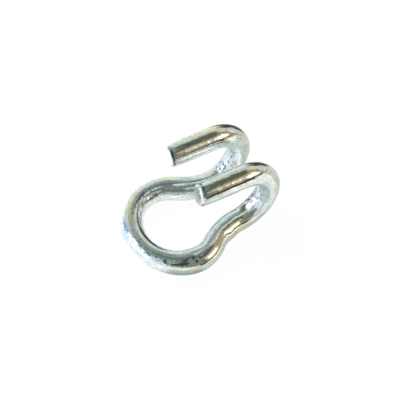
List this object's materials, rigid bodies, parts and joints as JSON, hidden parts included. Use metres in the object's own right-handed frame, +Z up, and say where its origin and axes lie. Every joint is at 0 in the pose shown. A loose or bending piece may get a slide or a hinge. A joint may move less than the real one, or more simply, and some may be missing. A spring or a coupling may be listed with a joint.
{
  "type": "u-hook",
  "caption": "Bent round-wire hook with a flat pear-shaped eye and parallel open hooks that turn back over it, for joining a chain end to a second chain, link or bar.",
  "frame": {"origin": "centre of the round back of the eye, in the middle plane of the eye's wire", "axes": "+X from the eye towards the hooks, +Z up from the eye, which lies flat, towards the prongs, +Y across the pair of hooks"},
  "size_m": [0.04, 0.0302, 0.0247],
  "materials": {
    "zinc_plated_wire": "gloss"
  },
  "bodies": {
    "root": {"wire_hook": "zinc_plated_wire"}
  },
  "joints": []
}
